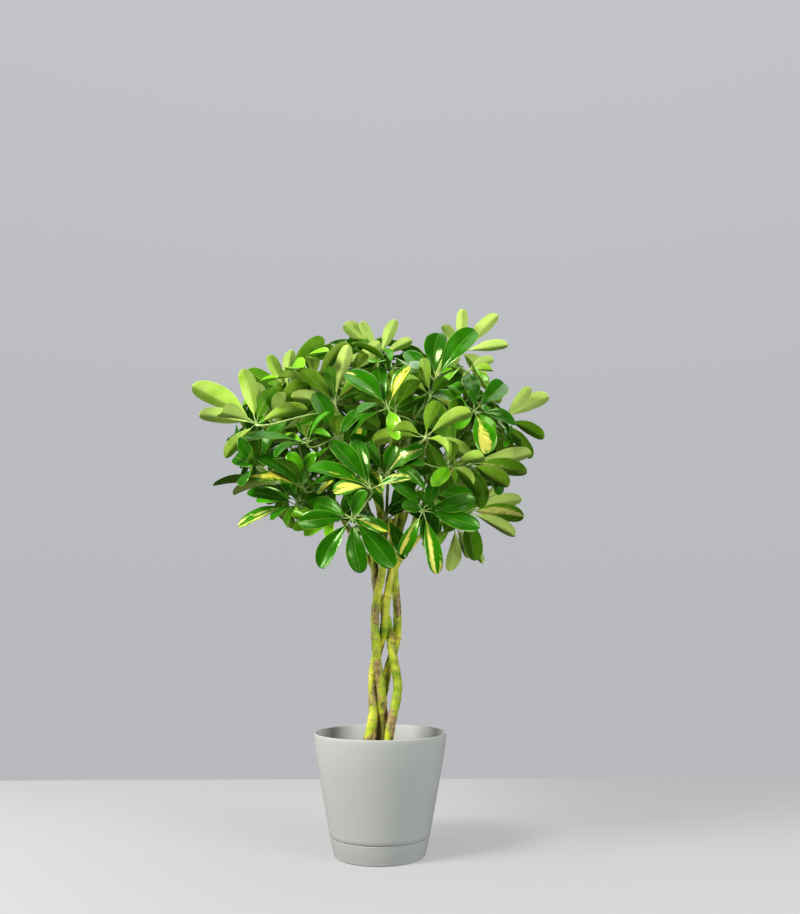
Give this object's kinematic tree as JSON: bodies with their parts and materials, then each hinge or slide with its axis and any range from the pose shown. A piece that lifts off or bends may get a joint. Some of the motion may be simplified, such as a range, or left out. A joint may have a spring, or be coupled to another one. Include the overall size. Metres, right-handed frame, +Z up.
{
  "type": "potted schefflera",
  "caption": "Braided-trunk dwarf schefflera standard with a round crown of variegated palmate leaves, in a round plastic pot on an attached saucer.",
  "frame": {"origin": "centre of the saucer's flat underside, where the potted plant stands", "axes": "+Z up along the pot's axis; the picture's viewer stands on the -Y side, with +X to their right"},
  "size_m": [0.5649, 0.4781, 0.8376],
  "materials": {
    "pot_plastic": "smooth matte pale sage grey",
    "soil": "dark crumbly potting soil",
    "bark": "green to yellow-green young bark with brown ring scars",
    "leaf": "glossy dark green upper faces, matte lime undersides, yellow variegation"
  },
  "bodies": {
    "root": {"saucer": "pot_plastic", "pot": "pot_plastic", "soil": "soil", "stem_a": "bark", "stem_b": "bark", "stem_c": "bark", "stem_d": "bark", "shoot_01": "leaf", "shoot_02": "leaf", "shoot_03": "leaf", "shoot_04": "leaf", "shoot_05": "leaf", "shoot_06": "leaf", "shoot_07": "leaf", "shoot_08": "leaf", "shoot_09": "leaf", "shoot_10": "leaf", "shoot_11": "leaf", "shoot_12": "leaf", "shoot_13": "leaf", "shoot_14": "leaf", "shoot_15": "leaf", "shoot_16": "leaf", "shoot_17": "leaf", "shoot_18": "leaf"}
  },
  "joints": []
}
